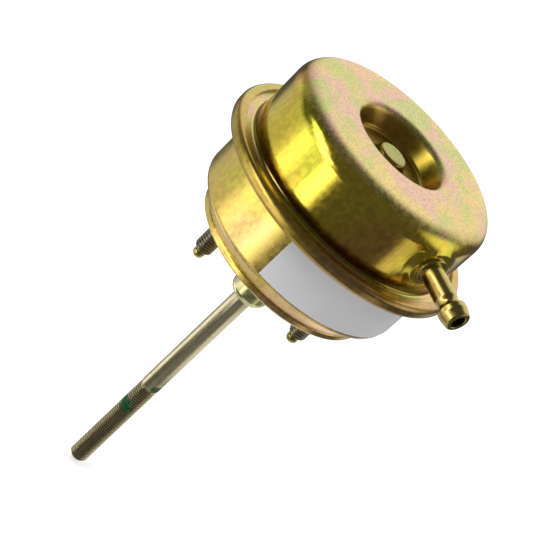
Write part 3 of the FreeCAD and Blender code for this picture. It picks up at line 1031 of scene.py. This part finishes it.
# each soft box is a bright patch of the surroundings: azimuth, elevation, full and fading width in degrees
softBoxes = [
    {"azimuth": -127, "elevation": -27, "full": 3, "fade": 11, "strength": 2.6},
    {"azimuth": -139, "elevation": -7, "full": 4, "fade": 14, "strength": 4.0},
    {"azimuth": -152, "elevation": 11, "full": 5, "fade": 15, "strength": 4.0},
    {"azimuth": -164, "elevation": 23, "full": 4, "fade": 13, "strength": 2.6},
    {"azimuth": -158, "elevation": -22, "full": 10, "fade": 31, "strength": 0.85},
    {"azimuth": -164, "elevation": -27, "full": 3, "fade": 13, "strength": 0.8},
    {"azimuth": 150, "elevation": -18, "full": 14, "fade": 34, "strength": 0.5},
    {"azimuth": 136, "elevation": 16, "full": 8, "fade": 26, "strength": 0.25},
    {"azimuth": 4, "elevation": 19, "full": 10, "fade": 28, "strength": 0.85},
    {"azimuth": -26, "elevation": -27, "full": 2, "fade": 9, "strength": 0.75},
    {"azimuth": 42, "elevation": -27, "full": 4, "fade": 14, "strength": 0.5},
    {"azimuth": 80, "elevation": 27, "full": 24, "fade": 46, "strength": 1.1},
    {"azimuth": -98, "elevation": -88, "full": 40, "fade": 57, "strength": 0.52},
]

# cards close beside the rod, seen only in its reflections: a dark one between pale ones
rodCards = [
    {"name": "stripCard", "azimuth": 173, "away": 60, "width": 34, "low": -150, "high": -52, "glow": 1.5},
    {"name": "darkCard", "azimuth": -133, "away": 60, "width": 78, "low": -150, "high": -52, "glow": 0.13},
    {"name": "paleCardNear", "azimuth": -2, "away": 60, "width": 66, "low": -97, "high": -52, "glow": 0.9},
    {"name": "paleCardFar", "azimuth": 53, "away": 60, "width": 66, "low": -97, "high": -52, "glow": 0.9},
]


def makeRodCards():
    for s in rodCards:
        material = bpy.data.materials.new(s["name"])
        material.use_nodes = True
        tree = material.node_tree
        tree.nodes.remove(tree.nodes["Principled BSDF"])
        glow = addNode(tree, "ShaderNodeEmission", Strength=s["glow"])
        tree.links.new(glow.outputs[0], tree.nodes["Material Output"].inputs["Surface"])
        turn = math.radians(s["azimuth"])
        out = Vector((math.cos(turn), math.sin(turn), 0))
        side = Vector((-math.sin(turn), math.cos(turn), 0)) * s["width"] / 2
        low = out * s["away"] + Vector((0, 0, s["low"]))
        high = out * s["away"] + Vector((0, 0, s["high"]))
        corners = (low - side, low + side, high + side, high - side)
        card = placeObject(s["name"], quadMesh(s["name"], corners, material))
        card.visible_camera = False
        card.visible_diffuse = False
        card.visible_transmission = False
        card.visible_shadow = False


def makeLamps():
    for s in lampSpecs:
        data = bpy.data.lights.new(s["name"], "AREA")
        data.shape = "RECTANGLE"
        data.size = s["size"][0] * mm
        data.size_y = s["size"][1] * mm
        data.energy = s["power"]
        lamp = placeObject(s["name"], data)
        place = Vector(s["place"]) * mm
        lamp.location = place
        lamp.rotation_euler = (-place).to_track_quat("-Z", "Y").to_euler()
        lamp.visible_glossy = False


worldSpec = {"dark": 0.085, "matt": (0.62, 0.62, 0.62, 1), "shown": (1, 1, 1, 1)}


def makeWorld():
    # even light on matt surfaces, soft boxes in dark surroundings for the glossy ones, white to the camera
    world = bpy.data.worlds.new("studio")
    bpy.context.scene.world = world
    world.use_nodes = True
    tree = world.node_tree
    background = tree.nodes["Background"]
    vector = tree.nodes.new("ShaderNodeTexCoord").outputs["Generated"]
    total = worldSpec["dark"]
    for s in softBoxes:
        azimuth = math.radians(s["azimuth"])
        elevation = math.radians(s["elevation"])
        toward = (math.cos(azimuth) * math.cos(elevation), math.sin(azimuth) * math.cos(elevation),
                  math.sin(elevation))
        facing = addNode(tree, "ShaderNodeVectorMath", {"operation": "DOT_PRODUCT"}, i0=vector, i1=toward)
        glow = rangeNode(tree, facing.outputs["Value"], math.cos(math.radians(s["fade"])),
                         math.cos(math.radians(s["full"])), 0.0, s["strength"])
        total = mathNode(tree, "ADD", total, glow)
    path = tree.nodes.new("ShaderNodeLightPath")
    shown = mixColor(tree, path.outputs["Is Glossy Ray"], worldSpec["matt"], total)
    shown = mixColor(tree, path.outputs["Is Camera Ray"], shown, worldSpec["shown"])
    tree.links.new(shown, background.inputs["Color"])


makeRodCards()
makeLamps()
makeWorld()
bpy.context.scene.view_settings.view_transform = "Standard"
